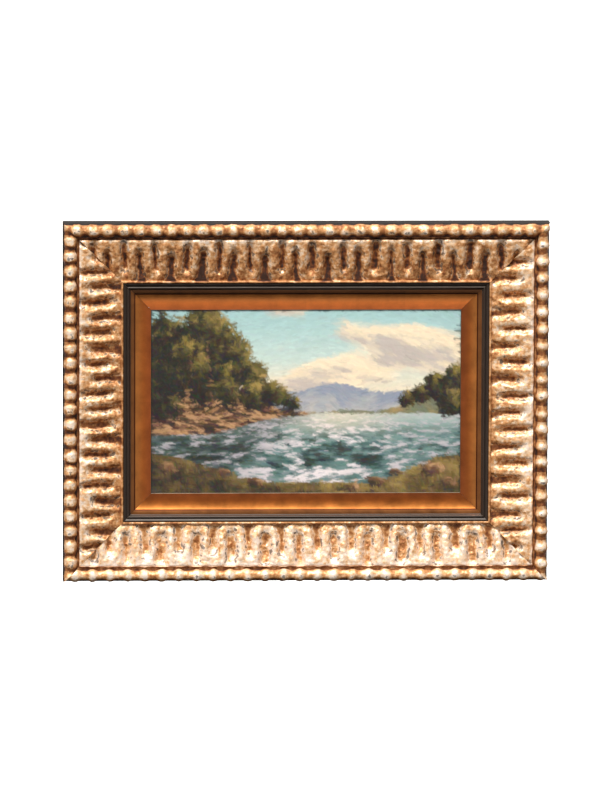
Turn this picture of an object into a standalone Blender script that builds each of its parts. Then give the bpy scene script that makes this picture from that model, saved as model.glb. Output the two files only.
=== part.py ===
"""A framed oil painting: carved and gilded outer frame, black inner moulding, gilt slip, canvas and stretcher.

The picture faces -Y and hangs in the XZ plane. The origin is on the back of the top rail, at the middle
of its length, where the picture is hung. The wall is the plane Y = 0.

Every moulding is described by a section. In a section a point is (inward, height): inward is the distance
from the outer edge of the whole frame towards the picture, and height is the distance out from the wall.
"""

import math

import bmesh
import bpy
from mathutils import Matrix, Vector

# Widths, from the picture outward, in metres
SIGHT_WIDTH = 0.500
SIGHT_HEIGHT = 0.298
SLIP_WIDTH = 0.0335
BLACK_WIDTH = 0.012
LIP_WIDTH = 0.0035
RIBBON_WIDTH = 0.0695
BEAD_WIDTH = 0.025

# Fit between one piece and the next
GAP = 0.0003
MITRE_GAP = 0.0002
SEAT = 0.009  # how far each moulding laps over the one it holds
CANVAS_COVER = 0.004  # how far the slip laps over the canvas
CANVAS_PLAY = 0.0008

# Stretcher and canvas
STRETCHER_BACK = 0.002
STRETCHER_THICKNESS = 0.017
STRETCHER_WIDTH = 0.038
STRETCHER_RELIEF = 0.0025  # the bars slope away from the canvas, so that only their outer edge touches it
STRETCHER_RIM = 0.008
CANVAS_THICKNESS = 0.001
CANVAS_MARGIN = 0.001  # the cloth turned over the stretcher's outer edge
KEY_LENGTH = 0.030
KEY_WIDTH = 0.013
KEY_POINT = 0.005
KEY_THICKNESS = 0.003
KEY_BITE = 0.010  # how far a key is driven into its bar
KEY_HEIGHTS = (0.0065, 0.0135)

# Slip: a flat outer fillet, then a hollow that runs down to the picture
SLIP_BACK = 0.006
SLIP_EDGE = 0.0022
SLIP_FILLET = 0.0065
SLIP_RISE = 0.0052
SLIP_HOLLOW = 0.0017
SLIP_QUIRK = 0.0008

# Black moulding: a quirk, a flat band, a small ridge and a hollow
BLACK_BACK = 0.004
BLACK_EDGE = 0.0026
BLACK_QUIRK_WIDTH = 0.0012
BLACK_QUIRK_DEPTH = 0.0020
BLACK_BAND_WIDTH = 0.0040
BLACK_BAND_FALL = 0.0016
BLACK_RIDGE_WIDTH = 0.0035
BLACK_RIDGE_RISE = 0.0012
BLACK_DROP = 0.0050
BLACK_HOLLOW = 0.0010

# Carved outer frame
LIP_STEP = 0.0040  # lip above the floor of the black moulding's quirk
LIP_RISE = 0.0020  # lip above the foot of the ribbon
LIP_LEAN = 0.0005
RIBBON_FALL = 0.0125
RIBBON_BULGE = 0.0028
RIM_RISE = 0.0060  # rim of the ribbon above the groove beside the beads
RIM_WIDTH = 0.0020
SIDE_INSET = 0.0010
BEAD_SINK = 0.0050  # centre of the beads below the rim
NECK_DEPTH = 0.0032
BEAD_LENGTH = 0.48  # share of the pitch that is full width, the rest runs down to a neck and up again

# The pitch of the beads was never the same on two rails. Offsets are along the rail, from its middle.
BEAD_PITCH = {"top": 0.0253, "right": 0.0274, "bottom": 0.0279, "left": 0.0248}
BEAD_OFFSET = {"top": 0.0095, "right": -0.0096, "bottom": 0.0099, "left": 0.0142}

# Pockets that leave the ribbon standing. One row opens towards the rim, the other towards the lip.
BEADS_PER_WAVE = 2
POCKET_WIDTH = 0.0115
POCKET_FLARE = 0.0045
POCKET_END = 0.0032  # how far a pocket's rounded end bows out past its sides
POCKET_LEAN = 0.25  # how far each wall leans out for each unit it rises
RIM_WALL = 0.0025  # ribbon left standing between the rim and a rim pocket
LIP_TURN = 0.0145  # ribbon left standing where it turns beside the lip
RIM_TURN = 0.0205  # and where it turns beside the rim
LIP_POCKET_MOUTH = 0.0130
FLOOR_RIM_DEPTH = 0.0050
FLOOR_LIP_DEPTH = 0.0020
FLOOR_HOLLOW = 0.0045
OVERCUT = 0.012

# Facets to each curve
RIBBON_FACETS = 3
POCKET_FACETS = 3
BLACK_FACETS = 3
SLIP_FACETS = 6
BEAD_SIDES = 8

# Points nearer than these are one point, in a fresh mesh and after a cut
WELD = 0.000005
SLIVER = 0.00002

SIDES = {"top": 0, "right": 90, "bottom": 180, "left": 270}
COLOURS = {
    "gilded_wood": ((0.66, 0.44, 0.25), 0.38, 0.75),
    "ebonised_wood": ((0.022, 0.018, 0.016), 0.35, 0.0),
    "copper_leaf": ((0.50, 0.17, 0.045), 0.36, 0.75),
    "pine": ((0.50, 0.33, 0.17), 0.75, 0.0),
    "painted_canvas": ((0.34, 0.37, 0.33), 0.55, 0.0),
}

# Distances inward from the outer edge of the frame
RIM = BEAD_WIDTH + RIM_WIDTH
LIP_START = BEAD_WIDTH + RIBBON_WIDTH
RAIL_EDGE = LIP_START + LIP_WIDTH
BLACK_EDGE_AT = RAIL_EDGE + BLACK_WIDTH
SLIP_EDGE_AT = BLACK_EDGE_AT + SLIP_WIDTH
RAIL_BODY = RAIL_EDGE - SEAT
BLACK_BODY = BLACK_EDGE_AT - SEAT
CANVAS_EDGE = SLIP_EDGE_AT - CANVAS_COVER
SLIP_BODY = CANVAS_EDGE - CANVAS_PLAY
STRETCHER_EDGE = CANVAS_EDGE + CANVAS_MARGIN + GAP
OUTER_WIDTH = SIGHT_WIDTH + 2 * SLIP_EDGE_AT
OUTER_HEIGHT = SIGHT_HEIGHT + 2 * SLIP_EDGE_AT

# Heights above the wall, each piece on the one behind it
CANVAS_BACK = STRETCHER_BACK + STRETCHER_THICKNESS + GAP
PICTURE = CANVAS_BACK + CANVAS_THICKNESS
SLIP_SEAT = PICTURE + GAP
SLIP_FRONT = SLIP_SEAT + SLIP_EDGE
SLIP_TOP = SLIP_FRONT + SLIP_RISE
BLACK_SEAT = SLIP_TOP + GAP
BLACK_FOOT = BLACK_SEAT + BLACK_EDGE
BLACK_TOP = BLACK_FOOT + BLACK_DROP
BLACK_QUIRK = BLACK_TOP - BLACK_QUIRK_DEPTH
BLACK_SHOULDER = BLACK_SEAT + BLACK_EDGE
RAIL_SEAT = BLACK_SHOULDER + GAP
LIP_HEIGHT = BLACK_QUIRK + LIP_STEP
RIBBON_FOOT = LIP_HEIGHT - LIP_RISE
RIM_HEIGHT = RIBBON_FOOT + RIBBON_FALL
GROOVE = RIM_HEIGHT - RIM_RISE
BEAD_CENTRE = RIM_HEIGHT - BEAD_SINK
BEAD_RADIUS = BEAD_WIDTH / 2
PIECE_TOP = BEAD_CENTRE + BEAD_RADIUS


def clear_scene():
    for item in list(bpy.data.objects):
        bpy.data.objects.remove(item)


def new_collection(name):
    made = bpy.data.collections.new(name)
    bpy.context.scene.collection.children.link(made)
    return made


def make_material(name):
    colour, roughness, metallic = COLOURS[name]
    made = bpy.data.materials.new(name)
    made.use_nodes = True
    shader = made.node_tree.nodes["Principled BSDF"]
    shader.inputs["Base Color"].default_value = (*colour, 1.0)
    shader.inputs["Roughness"].default_value = roughness
    shader.inputs["Metallic"].default_value = metallic
    made.diffuse_color = (*colour, 1.0)
    return made


def bowed(start, end, bow, steps):
    """Points after start, up to end, on a circular arc that bows out to the left of the way from start to end."""
    start, end = Vector(start), Vector(end)
    along = end - start
    half = along.length / 2
    left = Vector((-along.y, along.x)).normalized()
    radius = (half * half + bow * bow) / (2 * bow)
    centre = start + along / 2 + left * (bow - radius)
    first = start - centre
    sweep = -2 * math.asin(max(-1.0, min(1.0, half / radius)))
    points = []
    for step in range(1, steps + 1):
        turned = first.copy()
        turned.rotate(Matrix.Rotation(sweep * step / steps, 2))
        points.append(tuple(centre + turned))
    return points


def rail_section():
    """Carved rail without its beads and pockets, anticlockwise from the foot of the outer side."""
    section = [(SIDE_INSET, 0.0), (RAIL_BODY, 0.0), (RAIL_BODY, RAIL_SEAT), (RAIL_EDGE, RAIL_SEAT)]
    section += [(RAIL_EDGE, LIP_HEIGHT), (LIP_START + LIP_LEAN, LIP_HEIGHT)]
    section += [(LIP_START, RIBBON_FOOT)]
    section += bowed((LIP_START, RIBBON_FOOT), (RIM, RIM_HEIGHT), -RIBBON_BULGE, RIBBON_FACETS)
    section += [(BEAD_WIDTH, GROOVE), (BEAD_RADIUS, BEAD_CENTRE), (SIDE_INSET, BEAD_CENTRE)]
    return section


def black_section():
    outer = RAIL_BODY + GAP
    visible = RAIL_EDGE + GAP
    band = RAIL_EDGE + BLACK_QUIRK_WIDTH
    ridge = band + BLACK_BAND_WIDTH
    hollow = ridge + BLACK_RIDGE_WIDTH
    section = [(outer, BLACK_BACK), (BLACK_BODY, BLACK_BACK), (BLACK_BODY, BLACK_SEAT)]
    section += [(BLACK_EDGE_AT, BLACK_SEAT), (BLACK_EDGE_AT, BLACK_FOOT)]
    ridge_height = BLACK_TOP - BLACK_BAND_FALL + BLACK_RIDGE_RISE
    section += bowed((BLACK_EDGE_AT, BLACK_FOOT), (hollow, ridge_height), BLACK_HOLLOW, BLACK_FACETS)
    section += [(ridge, ridge_height), (ridge, BLACK_TOP - BLACK_BAND_FALL), (band, BLACK_TOP)]
    section += [(band, BLACK_QUIRK), (visible, BLACK_QUIRK)]
    section += [(visible, BLACK_SHOULDER), (outer, BLACK_SHOULDER)]
    return section


def slip_section():
    outer = BLACK_BODY + GAP
    fillet = BLACK_EDGE_AT + SLIP_FILLET
    section = [(outer, SLIP_BACK), (SLIP_BODY, SLIP_BACK), (SLIP_BODY, SLIP_SEAT)]
    section += [(SLIP_EDGE_AT, SLIP_SEAT), (SLIP_EDGE_AT, SLIP_FRONT)]
    foot = (SLIP_EDGE_AT, SLIP_FRONT)
    section += bowed(foot, (fillet + SLIP_QUIRK, SLIP_TOP - SLIP_QUIRK), SLIP_HOLLOW, SLIP_FACETS)
    section += [(fillet, SLIP_TOP), (outer, SLIP_TOP)]
    return section


def stretcher_section():
    inner = STRETCHER_EDGE + STRETCHER_WIDTH
    front = STRETCHER_BACK + STRETCHER_THICKNESS
    section = [(STRETCHER_EDGE, STRETCHER_BACK), (inner, STRETCHER_BACK)]
    section += [(inner, front - STRETCHER_RELIEF), (STRETCHER_EDGE + STRETCHER_RIM, front - STRETCHER_RELIEF / 4)]
    section += [(STRETCHER_EDGE + STRETCHER_RIM / 2, front), (STRETCHER_EDGE, front)]
    return section


def extruded(name, outline, half_length, collection):
    """The outline drawn as a flat curve and extruded both ways along its own Z, as a welded mesh object."""
    curve = bpy.data.curves.new(name, "CURVE")
    curve.dimensions = "2D"
    curve.fill_mode = "BOTH"
    curve.extrude = half_length
    spline = curve.splines.new("POLY")
    spline.points.add(len(outline) - 1)
    for point, place in zip(spline.points, outline):
        point.co = (*place, 0.0, 1.0)
    spline.use_cyclic_u = True
    drawn = bpy.data.objects.new(name + "_outline", curve)
    collection.objects.link(drawn)
    made = meshed(name, drawn, collection)
    bpy.data.objects.remove(drawn)
    return made


def meshed(name, source, collection):
    """A plain mesh object from what source evaluates to, with its doubles merged and its faces pointing out."""
    bpy.context.view_layer.update()
    graph = bpy.context.evaluated_depsgraph_get()
    mesh = bpy.data.meshes.new_from_object(source.evaluated_get(graph))
    mesh.name = name
    tidied(mesh)
    made = bpy.data.objects.new(name, mesh)
    collection.objects.link(made)
    made.matrix_world = source.matrix_world.copy()
    return made


def tidied(mesh):
    shape = bmesh.new()
    shape.from_mesh(mesh)
    bmesh.ops.remove_doubles(shape, verts=shape.verts, dist=WELD)
    bmesh.ops.recalc_face_normals(shape, faces=shape.faces)
    shape.to_mesh(mesh)
    shape.free()


def laid_along(piece):
    """Turns an extruded section to lie along X, with inward as -Z and height as -Y."""
    turn = Matrix(((0, 0, -1, 0), (0, -1, 0, 0), (-1, 0, 0, 0), (0, 0, 0, 1)))
    piece.data.transform(turn)
    return piece


def mitred(piece, outer_length):
    """Pulls each end of a straight length in by its distance from the outer edge, which makes a 45 degree mitre."""
    for vertex in piece.data.vertices:
        reach = outer_length / 2 + vertex.co.z - MITRE_GAP
        vertex.co.x = math.copysign(reach, vertex.co.x)
    return piece


def outer_length(side):
    return OUTER_WIDTH if side in ("top", "bottom") else OUTER_HEIGHT


def edge_distance(side):
    """From the middle of the picture to the outer edge of the frame on this side."""
    return (OUTER_HEIGHT if side in ("top", "bottom") else OUTER_WIDTH) / 2


def place_on_side(piece, side, centre):
    turn = math.radians(SIDES[side])
    piece.parent = centre
    piece.rotation_euler = (0, turn, 0)
    piece.location = Matrix.Rotation(turn, 3, "Y") @ Vector((0, 0, edge_distance(side)))


def modified(piece, operation, cutter, cutters):
    """Applies one Boolean to piece and puts the cutter away."""
    boolean = piece.modifiers.new(operation.lower(), "BOOLEAN")
    boolean.operation = operation
    boolean.object = cutter
    bpy.context.view_layer.update()
    graph = bpy.context.evaluated_depsgraph_get()
    mesh = bpy.data.meshes.new_from_object(piece.evaluated_get(graph))
    piece.modifiers.clear()
    piece.data = mesh
    put_away(cutter, cutters)
    return piece


def put_away(cutter, cutters):
    for holder in list(cutter.users_collection):
        holder.objects.unlink(cutter)
    cutters.objects.link(cutter)
    cutter.hide_render = True
    cutter.display_type = "WIRE"


def bead_string(side, collection):
    """The beads of one rail, turned as one long rod about X and run past both mitres."""
    pitch = BEAD_PITCH[side]
    neck = BEAD_RADIUS - NECK_DEPTH
    count = math.ceil(outer_length(side) / 2 / pitch) + 1
    profile = [(-(count + 0.5) * pitch, 0.0)]
    for bead in range(-count, count + 1):
        middle = bead * pitch
        half = BEAD_LENGTH * pitch / 2
        profile += [(middle - half, BEAD_RADIUS), (middle + half, BEAD_RADIUS), (middle + pitch / 2, neck)]
    profile += [((count + 0.5) * pitch, 0.0)]
    mesh = bpy.data.meshes.new("beads_" + side)
    places = [(BEAD_OFFSET[side] + along, 0.0, radius) for along, radius in profile]
    mesh.from_pydata(places, [(i, i + 1) for i in range(len(places) - 1)], [])
    turned = bpy.data.objects.new("beads_profile_" + side, mesh)
    collection.objects.link(turned)
    screw = turned.modifiers.new("turn", "SCREW")
    screw.axis = "X"
    screw.steps = BEAD_SIDES
    screw.render_steps = BEAD_SIDES
    screw.use_merge_vertices = True
    screw.merge_threshold = WELD
    made = meshed("beads_" + side, turned, collection)
    bpy.data.objects.remove(turned)
    made.data.transform(Matrix.Translation((0, -BEAD_CENTRE, -BEAD_RADIUS)))
    return made


def pocket_end(inward, way):
    """The rounded end of a pocket. It bows away from inward, outward for -1 and inward for 1."""
    half = POCKET_WIDTH / 2 * way
    shoulder = inward - way * POCKET_END
    return [(half, shoulder)] + bowed((half, shoulder), (-half, shoulder), -POCKET_END, POCKET_FACETS)


def rim_pocket_outline():
    """Points (along the rail, inward) of a pocket that is round at both ends."""
    return pocket_end(LIP_START - LIP_TURN, 1) + pocket_end(RIM + RIM_WALL, -1)


def lip_pocket_outline():
    """Round at its outer end, and opening out where the ribbon turns above the lip."""
    half = POCKET_WIDTH / 2
    mouth = half + POCKET_FLARE
    end = LIP_START - GAP
    flare = end - LIP_POCKET_MOUTH
    outline = [(half, flare), (mouth, end), (-mouth, end), (-half, flare)]
    return outline + pocket_end(RIM + RIM_TURN, -1)


def pocket(name, outline, along, collection):
    """A cutter through the whole ribbon, which follows its slope and is narrower where it is deeper."""
    cutter = extruded(name, outline, OVERCUT, collection)
    slope = (RIM_HEIGHT - RIBBON_FOOT) / (LIP_START - RIM)
    for vertex in cutter.data.vertices:
        across, inward, rise = vertex.co
        across += math.copysign(POCKET_LEAN * rise, across)
        height = RIM_HEIGHT - slope * (inward - RIM) + rise
        vertex.co = (along + across, -height, -inward)
    tidied(cutter.data)
    return cutter


def pocket_layer(side, collection):
    """The part of the rail that pockets may take away, above a hollow floor."""
    rim_floor = (RIM, RIM_HEIGHT - FLOOR_RIM_DEPTH)
    lip_floor = (LIP_START - GAP, RIBBON_FOOT - FLOOR_LIP_DEPTH)
    outline = bowed(lip_floor, rim_floor, FLOOR_HOLLOW, RIBBON_FACETS)
    outline += [(RIM, RIM_HEIGHT + OVERCUT), (LIP_START - GAP, RIM_HEIGHT + OVERCUT), lip_floor]
    return laid_along(extruded("layer_" + side, outline, outer_length(side), collection))


def joined(pieces, name):
    """One object with all the meshes of pieces, which don't touch each other."""
    shape = bmesh.new()
    for piece in pieces:
        shape.from_mesh(piece.data)
    first = pieces[0]
    shape.to_mesh(first.data)
    shape.free()
    for piece in pieces[1:]:
        bpy.data.objects.remove(piece)
    first.name = name
    return first


def pockets(side, collection, cutters):
    """Rim pockets beside every other bead, and lip pockets halfway between them."""
    wave = BEADS_PER_WAVE * BEAD_PITCH[side]
    clear = outer_length(side) / 2 - RIM
    count = math.ceil(clear / wave) + 1
    made = []
    for index in range(-count, count + 1):
        places = (
            (BEAD_OFFSET[side] + index * wave, rim_pocket_outline()),
            (BEAD_OFFSET[side] + (index + 0.5) * wave, lip_pocket_outline()),
        )
        for along, outline in places:
            if abs(along) < clear:
                made.append(pocket("pocket", outline, along, collection))
    return modified(joined(made, "pockets_" + side), "INTERSECT", pocket_layer(side, collection), cutters)


def mitre_envelope(side, collection):
    """Everything between the two mitre planes of a rail."""
    low, deep, high = -OVERCUT, RAIL_EDGE + OVERCUT, PIECE_TOP + OVERCUT
    outline = [(low, low), (deep, low), (deep, high), (low, high)]
    made = laid_along(extruded("mitre_" + side, outline, outer_length(side), collection))
    return mitred(made, outer_length(side))


def clean_facets(mesh):
    """Drops the slivers that cuts leave, so that the solid has plain facets."""
    shape = bmesh.new()
    shape.from_mesh(mesh)
    bmesh.ops.remove_doubles(shape, verts=shape.verts, dist=SLIVER)
    bmesh.ops.dissolve_degenerate(shape, dist=SLIVER / 2, edges=shape.edges)
    bmesh.ops.triangulate(shape, faces=shape.faces)
    shape.to_mesh(mesh)
    shape.free()


def carved_rail(side, collection, cutters):
    rail = laid_along(extruded("frame_rail_" + side, rail_section(), outer_length(side), collection))
    modified(rail, "UNION", bead_string(side, collection), cutters)
    modified(rail, "DIFFERENCE", pockets(side, collection, cutters), cutters)
    modified(rail, "INTERSECT", mitre_envelope(side, collection), cutters)
    clean_facets(rail.data)
    return rail


def plain_length(name, section, side, collection):
    made = laid_along(extruded(name, section, outer_length(side), collection))
    return mitred(made, outer_length(side))


def box(name, size, middle, collection):
    """A box with the given size along X, Y and Z about its middle."""
    shape = bmesh.new()
    bmesh.ops.create_cube(shape, size=1.0)
    bmesh.ops.scale(shape, vec=size, verts=shape.verts)
    bmesh.ops.translate(shape, vec=middle, verts=shape.verts)
    mesh = bpy.data.meshes.new(name)
    shape.to_mesh(mesh)
    shape.free()
    made = bpy.data.objects.new(name, mesh)
    collection.objects.link(made)
    return made


def key_outline(grow):
    """A wedge along X, its straight side at zero and its point driven KEY_BITE past the corner."""
    return [
        (-KEY_BITE - grow, -grow),
        (KEY_LENGTH - KEY_BITE + grow, -grow),
        (KEY_LENGTH - KEY_BITE + grow, KEY_WIDTH + grow),
        (-KEY_BITE - grow, KEY_POINT + grow),
    ]


def wedge(name, corner, lies_along_x, height, grow, collection):
    """A stretcher key at one inner corner of the stretcher, (x, z) from the middle of the picture."""
    made = extruded(name, key_outline(grow), KEY_THICKNESS / 2 + grow, collection)
    side_x = math.copysign(1.0, corner[0])
    side_z = math.copysign(1.0, corner[1])
    for vertex in made.data.vertices:
        along, across, up = vertex.co
        x, z = (along, across + GAP) if lies_along_x else (across + GAP, along)
        vertex.co = (corner[0] - side_x * x, -(height + up), corner[1] - side_z * z)
    tidied(made.data)
    return made


def stretcher_corners():
    reach_x = OUTER_WIDTH / 2 - STRETCHER_EDGE - STRETCHER_WIDTH
    reach_z = OUTER_HEIGHT / 2 - STRETCHER_EDGE - STRETCHER_WIDTH
    return [(x * reach_x, z * reach_z) for x in (-1, 1) for z in (-1, 1)]


def key_places():
    """Each corner has one key along X and one along Z, at two heights so that they pass each other."""
    return [
        (corner, lies_along_x, KEY_HEIGHTS[0] if lies_along_x else KEY_HEIGHTS[1])
        for corner in stretcher_corners()
        for lies_along_x in (True, False)
    ]


def stretcher_bar(side, collection, cutters):
    """A mitred bar, slotted where the keys of its two corners are driven into it."""
    bar = plain_length("stretcher_bar_" + side, stretcher_section(), side, collection)
    turn = Matrix.Rotation(math.radians(SIDES[side]), 4, "Y")
    home = turn @ Matrix.Translation((0, 0, edge_distance(side)))
    slots = []
    for corner, lies_along_x, height in key_places():
        driven_into_this = lies_along_x == (side in ("left", "right"))
        outward = turn @ Vector((0, 0, 1))
        at_this_side = outward.x * corner[0] + outward.z * corner[1] > 0
        if driven_into_this and at_this_side:
            slots.append(wedge("slot", corner, lies_along_x, height, GAP, collection))
    cutter = joined(slots, "key_slots_" + side)
    cutter.data.transform(home.inverted())
    modified(bar, "DIFFERENCE", cutter, cutters)
    return bar


def finish(piece, material, centre=None):
    piece.data.materials.clear()
    piece.data.materials.append(material)
    piece.data.shade_flat()
    if centre:
        piece.parent = centre


def build():
    clear_scene()
    parts = new_collection("framed_oil_painting")
    cutters = new_collection("cutters")
    cutters.hide_render = True
    materials = {name: make_material(name) for name in COLOURS}
    centre = bpy.data.objects.new("picture_centre", None)
    centre.location = (0, 0, RAIL_BODY / 2 - OUTER_HEIGHT / 2)
    parts.objects.link(centre)
    for side in SIDES:
        made = (
            (carved_rail(side, parts, cutters), "gilded_wood"),
            (plain_length("black_moulding_" + side, black_section(), side, parts), "ebonised_wood"),
            (plain_length("gilt_slip_" + side, slip_section(), side, parts), "copper_leaf"),
            (stretcher_bar(side, parts, cutters), "pine"),
        )
        for piece, material in made:
            finish(piece, materials[material])
            place_on_side(piece, side, centre)
    for index, (corner, lies_along_x, height) in enumerate(key_places(), start=1):
        key = wedge(f"stretcher_key_{index}", corner, lies_along_x, height, 0.0, parts)
        finish(key, materials["pine"], centre)
    canvas_size = (
        OUTER_WIDTH - 2 * CANVAS_EDGE,
        CANVAS_THICKNESS,
        OUTER_HEIGHT - 2 * CANVAS_EDGE,
    )
    canvas = box("canvas", canvas_size, (0, -(PICTURE + CANVAS_BACK) / 2, 0), parts)
    finish(canvas, materials["painted_canvas"], centre)
    bpy.context.view_layer.update()


build()
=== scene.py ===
import math

import bpy
import numpy as np
from mathutils import Matrix, Quaternion, Vector


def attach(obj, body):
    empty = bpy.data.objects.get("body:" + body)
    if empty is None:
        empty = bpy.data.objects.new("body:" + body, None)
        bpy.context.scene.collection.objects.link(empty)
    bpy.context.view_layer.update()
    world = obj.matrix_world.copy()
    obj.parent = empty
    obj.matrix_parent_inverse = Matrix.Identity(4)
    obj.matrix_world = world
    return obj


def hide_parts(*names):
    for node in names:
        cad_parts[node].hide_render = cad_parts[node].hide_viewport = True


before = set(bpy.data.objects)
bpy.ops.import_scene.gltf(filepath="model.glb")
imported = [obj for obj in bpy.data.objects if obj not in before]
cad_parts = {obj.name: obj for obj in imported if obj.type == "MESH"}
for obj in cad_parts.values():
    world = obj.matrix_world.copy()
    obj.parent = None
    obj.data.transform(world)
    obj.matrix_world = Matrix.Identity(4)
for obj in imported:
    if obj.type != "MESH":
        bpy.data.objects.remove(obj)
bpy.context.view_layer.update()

print("packed frame loaded")

# The picture faces -Y, the wall is Y = 0, and the origin is on the back of the top rail.
# A section point is (inward, height): inward from the frame's outer edge, height out from the wall. Metres.
sideTurns = {"top": 0, "right": 90, "bottom": 180, "left": 270}
whole = {"width": 0.787, "height": 0.585, "centreZ": -0.248, "mitreGap": 0.0002}


def sideLength(side):
    return whole["width"] if side in ("top", "bottom") else whole["height"]


# From a length that lies along X, with its outer edge at Z = 0, to its place in the frame
def sidePlace(side):
    reach = (whole["height"] if side in ("top", "bottom") else whole["width"]) / 2
    turn = Matrix.Rotation(math.radians(sideTurns[side]), 4, "Y")
    return Matrix.Translation((0, 0, whole["centreZ"])) @ turn @ Matrix.Translation((0, 0, reach))


def linear(hexColour):
    parts = [int(hexColour[i:i + 2], 16) / 255 for i in (1, 3, 5)]
    return tuple(p / 12.92 if p <= 0.04045 else ((p + 0.055) / 1.055) ** 2.4 for p in parts) + (1.0,)


# Adds one node, with its settings and its inputs, which are values or the sockets that feed them
def addNode(tree, kind, settings=None, inputs=None):
    node = tree.nodes.new(kind)
    node.location = (200 * (len(tree.nodes) // 6), -220 * (len(tree.nodes) % 6))
    for name, value in (settings or {}).items():
        if name == "stops":
            ramp = node.color_ramp
            while len(ramp.elements) < len(value):
                ramp.elements.new(1.0)
            for element, (place, colour) in zip(ramp.elements, value):
                element.position = place
                element.color = linear(colour) if isinstance(colour, str) else (colour, colour, colour, 1.0)
        else:
            setattr(node, name, value)
    for key, value in (inputs or {}).items():
        if isinstance(value, bpy.types.NodeSocket):
            tree.links.new(value, node.inputs[key])
        else:
            node.inputs[key].default_value = linear(value) if str(value).startswith("#") else value
    return node


# The words of the step lines: the node, its settings, the inputs that the line's values go to, and the output
mathWords = {"+": "ADD", "-": "SUBTRACT", "*": "MULTIPLY", "/": "DIVIDE", "*+": "MULTIPLY_ADD", "max": "MAXIMUM",
             "min": "MINIMUM", "abs": "ABSOLUTE", "round": "ROUND", "floor": "FLOOR", "sign": "SIGN", "sqrt": "SQRT",
             "cos": "COSINE"}
waveInputs = ("Vector", "Scale", "Distortion", "Detail Scale")
nodeWords = {word: ("ShaderNodeMath", {"operation": way}, (0, 1, 2), 0) for word, way in mathWords.items()} | {
    "rise": ("ShaderNodeMapRange", {"interpolation_type": "SMOOTHSTEP"}, range(5), 0),
    "span": ("ShaderNodeMapRange", {}, range(5), 0),
    "noise": ("ShaderNodeTexNoise", {}, ("Vector", "Scale", "Detail", "Roughness", "Distortion"), 0),
    "noiseColour": ("ShaderNodeTexNoise", {}, ("Vector", "Scale", "Detail"), 1),
    "cells": ("ShaderNodeTexVoronoi", {}, ("Vector", "Scale"), "Distance"),
    "bandsX": ("ShaderNodeTexWave", {}, waveInputs, 1),
    "bandsZ": ("ShaderNodeTexWave", {"bands_direction": "Z"}, waveInputs, 1),
    "random": ("ShaderNodeTexWhiteNoise", {"noise_dimensions": "1D"}, ("W",), 0),
    "randomColour": ("ShaderNodeTexWhiteNoise", {"noise_dimensions": "1D"}, ("W",), 1),
    "point": ("ShaderNodeCombineXYZ", {}, range(3), 0),
    "stretch": ("ShaderNodeMapping", {}, ("Vector", "Scale"), 0),
    "mix": ("ShaderNodeMix", {"data_type": "RGBA"}, (0, 6, 7), 2),
    "shaded": ("ShaderNodeHueSaturation", {}, ("Color", "Value"), 0),
    "ramp": ("ShaderNodeValToRGB", {}, (0,), 0),
    "bump": ("ShaderNodeBump", {}, ("Height", "Distance", "Strength"), 0),
}
for number, (axis, hue) in enumerate((("x", "red"), ("y", "green"), ("z", "blue"))):
    nodeWords[axis + "Of"] = ("ShaderNodeSeparateXYZ", {}, (0,), number)
    nodeWords[hue + "Of"] = ("FunctionNodeSeparateColor", {}, (0,), number)


# Adds the nodes of lines such as "away = place - middle, abs it": a name, then a phrase for each node, in which it is
# what the phrase before has made. Other words are earlier results, entries of the piece's dictionary, one over an
# entry, or numbers. Rise is smooth and span is straight.
def runSteps(tree, known, steps):
    for line in steps.strip().splitlines():
        name, phrases = line.strip().split(" = ")
        for phrase in phrases.split(", "):
            words = phrase.split()
            word = "".join(w for w in words if w in nodeWords)
            values = [known[w] if w in known else 1 / known[w[2:]] if w[:2] == "1/" else float(w)
                      for w in words if w not in nodeWords]
            kind, settings, keys, output = nodeWords[word]
            if word == "ramp":
                settings = {"stops": list(zip(values[1::2], values[2::2]))}
            node = addNode(tree, kind, {**settings, "label": name}, dict(zip(keys, values)))
            known["it"] = node.outputs[output]
        known[name] = known["it"]


# Where a finish lies: in the object's coordinates, or in an attribute that holds the place along the rail
inObject, alongRail = {"place": ("", "Object")}, {"place": ("railPlace", "Vector")}


# A finish from its dictionary, the attributes it reads and its steps, whose colour, rough and normal feed the shader
def newMaterial(name, values, reads, steps, **inputs):
    material = bpy.data.materials.new(name)
    material.use_nodes = True
    tree = material.node_tree
    shader = tree.nodes["Principled BSDF"]
    for key, value in inputs.items():
        shader.inputs[key.replace("_", " ")].default_value = value
    known = dict(values)
    for label, (attribute, output) in reads.items():
        source = ("ShaderNodeAttribute", {"attribute_name": attribute}) if attribute else ("ShaderNodeTexCoord",)
        known[label] = addNode(tree, *source).outputs[output]
    runSteps(tree, known, steps)
    for label, socket in (("colour", "Base Color"), ("rough", "Roughness"), ("normal", "Normal")):
        if label in known:
            tree.links.new(known[label], shader.inputs[socket])
    return material


# Camera: as in the photograph, a little above and to the left, and far off, so that the sides stay parallel
view = {"azimuth": -2.5, "elevation": 7.5, "roll": 0.2, "distance": 13.0, "lens": 361.3,
        "aim": (-0.0086, 0.0, -0.2484)}


def makeCamera():
    camera = bpy.data.objects.new("camera", bpy.data.cameras.new("camera"))
    bpy.context.scene.collection.objects.link(camera)
    azimuth, elevation = math.radians(view["azimuth"]), math.radians(view["elevation"])
    back = Vector((math.sin(azimuth) * math.cos(elevation), -math.cos(azimuth) * math.cos(elevation),
                   math.sin(elevation)))
    camera.location = Vector(view["aim"]) + back * view["distance"]
    camera.rotation_mode = "QUATERNION"
    level = (-back).to_track_quat("-Z", "Y")
    camera.rotation_quaternion = level @ Quaternion((0, 0, 1), math.radians(view["roll"]))
    camera.data.lens = view["lens"]
    camera.data.clip_end = 200
    bpy.context.scene.camera = camera


makeCamera()
print("camera placed")


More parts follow.
